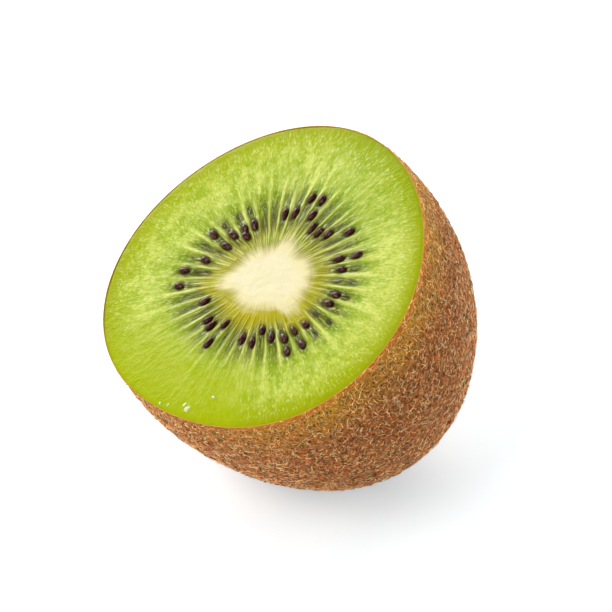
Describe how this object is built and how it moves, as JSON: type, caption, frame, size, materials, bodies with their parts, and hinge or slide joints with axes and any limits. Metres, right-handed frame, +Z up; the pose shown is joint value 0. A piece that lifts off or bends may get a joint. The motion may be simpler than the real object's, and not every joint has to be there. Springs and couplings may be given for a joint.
{
  "type": "halved kiwifruit",
  "caption": "Half of a fuzzy green kiwifruit, cut across and lying tilted on its brown skin, with green flesh, a ring of dark seeds and a cream core.",
  "frame": {"origin": "centre of the small flat spot of skin that the half rests on", "axes": "+Z up; the cut face tips towards -Y, by 31.6 degrees from level; +X along the fruit's cross-section"},
  "size_m": [0.056, 0.0525, 0.0479],
  "materials": {
    "kiwi_skin": "thin matt brown skin covered in short curly hairs",
    "kiwi_flesh": "wet, translucent bright green flesh with pale radial fibres",
    "kiwi_core": "smooth firm cream core, slightly moist"
  },
  "bodies": {
    "root": {"skin": "kiwi_skin", "flesh": "kiwi_flesh", "core": "kiwi_core"}
  },
  "joints": []
}
